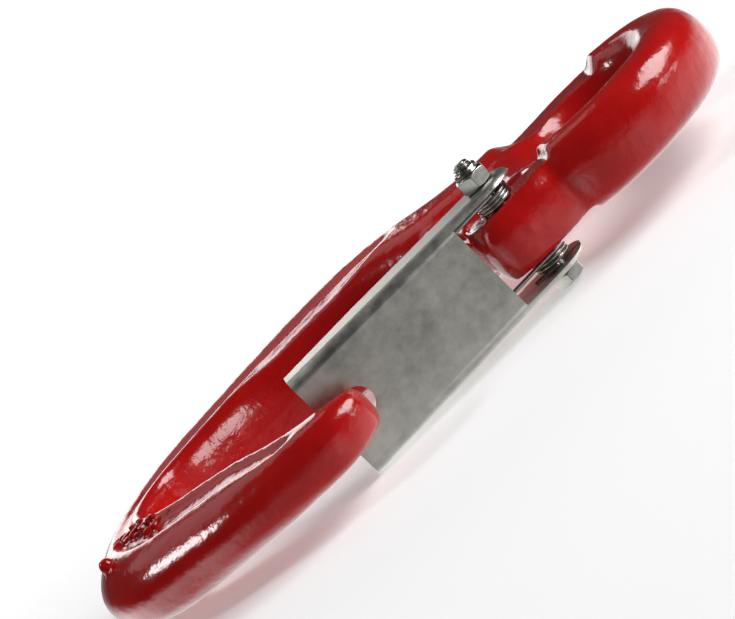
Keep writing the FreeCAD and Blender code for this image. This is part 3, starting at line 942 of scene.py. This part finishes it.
# ============================================================ light
world = bpy.data.worlds.new("studio")
scene.world = world
world.use_nodes = True
bg = world.node_tree.nodes.get("Background") or world.node_tree.nodes.new("ShaderNodeBackground")
wt = world.node_tree
wout = wt.nodes.get("World Output") or wt.nodes.new("ShaderNodeOutputWorld")
bg.inputs[0].default_value = (1.0, 1.0, 1.0, 1)
bg.inputs[1].default_value = 0.05
white = wt.nodes.new("ShaderNodeBackground")
white.inputs[0].default_value = (1.0, 1.0, 1.0, 1)
white.inputs[1].default_value = 1.0
lp = wt.nodes.new("ShaderNodeLightPath")
# graded surround: dark room above, white table below that gets brighter towards the eye end
gco = wt.nodes.new("ShaderNodeTexCoord")
gsep = wt.nodes.new("ShaderNodeSeparateXYZ")
wt.links.new(gco.outputs["Generated"], gsep.inputs[0])
low = maprange(wt, gsep.outputs["Y"], 0.0, 1.0, -0.13, 0.30)
low.node.interpolation_type = "SMOOTHSTEP"
end = maprange(wt, gsep.outputs["Z"], 0.27, 1.50, -0.35, 0.85)
end.node.interpolation_type = "SMOOTHSTEP"
tail = maprange(wt, gsep.outputs["Z"], 2.4, 0.0, -1.0, -0.55)
front = maprange(wt, gsep.outputs["X"], 0.0, 1.0, 0.35, 0.75)
high = maprange(wt, gsep.outputs["Z"], 0.0, -0.75, 0.30, 0.60)
cut = wt.nodes.new("ShaderNodeMath")
cut.operation = "MULTIPLY_ADD"
wt.links.new(front, cut.inputs[0])
wt.links.new(high, cut.inputs[1])
cut.inputs[2].default_value = 1.0
kept = wt.nodes.new("ShaderNodeMath")
kept.operation = "MULTIPLY"
wt.links.new(end, kept.inputs[0])
wt.links.new(cut.outputs[0], kept.inputs[1])
behind = maprange(wt, gsep.outputs["X"], 0.85, 0.0, -0.65, 0.05)
glow = add(wt, add(wt, kept.outputs[0], tail, 1.0, 1.0), behind, 1.0, 1.0)
gm = wt.nodes.new("ShaderNodeMath")
gm.operation = "MULTIPLY_ADD"
wt.links.new(low, gm.inputs[0])
wt.links.new(glow, gm.inputs[1])
gm.inputs[2].default_value = 0.05
ground = wt.nodes.new("ShaderNodeBackground")
wt.links.new(gm.outputs[0], ground.inputs[1])
gl = wt.nodes.new("ShaderNodeMixShader")
wt.links.new(lp.outputs["Is Glossy Ray"], gl.inputs[0])
wt.links.new(bg.outputs[0], gl.inputs[1])
wt.links.new(ground.outputs[0], gl.inputs[2])
wm = wt.nodes.new("ShaderNodeMixShader")
wt.links.new(lp.outputs["Is Camera Ray"], wm.inputs[0])
wt.links.new(gl.outputs[0], wm.inputs[1])
wt.links.new(white.outputs[0], wm.inputs[2])
wt.links.new(wm.outputs[0], wout.inputs[0])


def softbox(name, target_mm, direction, dist, sx, sy, radiance, up=(0, 0, 1), color=(1, 1, 1)):
    d = Vector(direction).normalized()
    t = Vector(target_mm) * MM
    ld = bpy.data.lights.new(name, "AREA")
    ld.shape = "RECTANGLE"
    ld.size, ld.size_y = sx, sy
    ld.energy = radiance * math.pi * sx * sy
    ld.color = color
    o = bpy.data.objects.new(name, ld)
    scene.collection.objects.link(o)
    z = d
    x = Vector(up).cross(z).normalized()
    y = z.cross(x).normalized()
    R = Matrix((x, y, z)).transposed()
    o.matrix_world = Matrix.Translation(t + d * dist) @ R.to_4x4()
    o.visible_camera = False
    return o


softbox("key_eye_end", (30, -5, 17), (0.20, -0.56, 0.80), 0.8, 0.58, 0.42, 9.0)
softbox("strip_eye_end", (29, -2, 19), (0.36, -0.04, 0.93), 0.8, 0.40, 0.045, 6.0, up=(0, 1, 0))
softbox("key_bowl_end", (42, -6, -145), (-0.06, -0.74, -0.66), 0.8, 0.17, 0.17, 16.0)
softbox("bowl_fill", (-22, -8, -128), (0.99, 0.05, -0.12), 0.030, 0.010, 0.0085, 7.5)
softbox("back_low", (-20, 0, -60), (-0.92, -0.30, -0.26), 1.5, 0.76, 0.66, 2.3)
softbox("top_bowl", (-20, 0, -60), (-0.50, -0.82, -0.32), 1.5, 0.70, 1.2, 0.55)

# ============================================================ camera at the photograph's angle
cam_d = bpy.data.cameras.new("camera")
cam = bpy.data.objects.new("camera", cam_d)
scene.collection.objects.link(cam)
right = Vector((0.042116, 0.70480555, 0.70814926))
down = Vector((0.20674459, 0.68728962, -0.69634019))
fwd = Vector((-0.97748806, 0.1757331, -0.11676884))
R = Matrix((right, -down, -fwd)).transposed()
cam.matrix_world = Matrix.Translation(Vector((532.08577, -103.45783, -12.61518)) * MM) @ R.to_4x4()
cam_d.sensor_fit = "HORIZONTAL"
cam_d.sensor_width = 36.0
cam_d.lens = 2115.12 / 735.0 * 36.0
cam_d.clip_start = 0.01
cam_d.clip_end = 100.0
scene.camera = cam
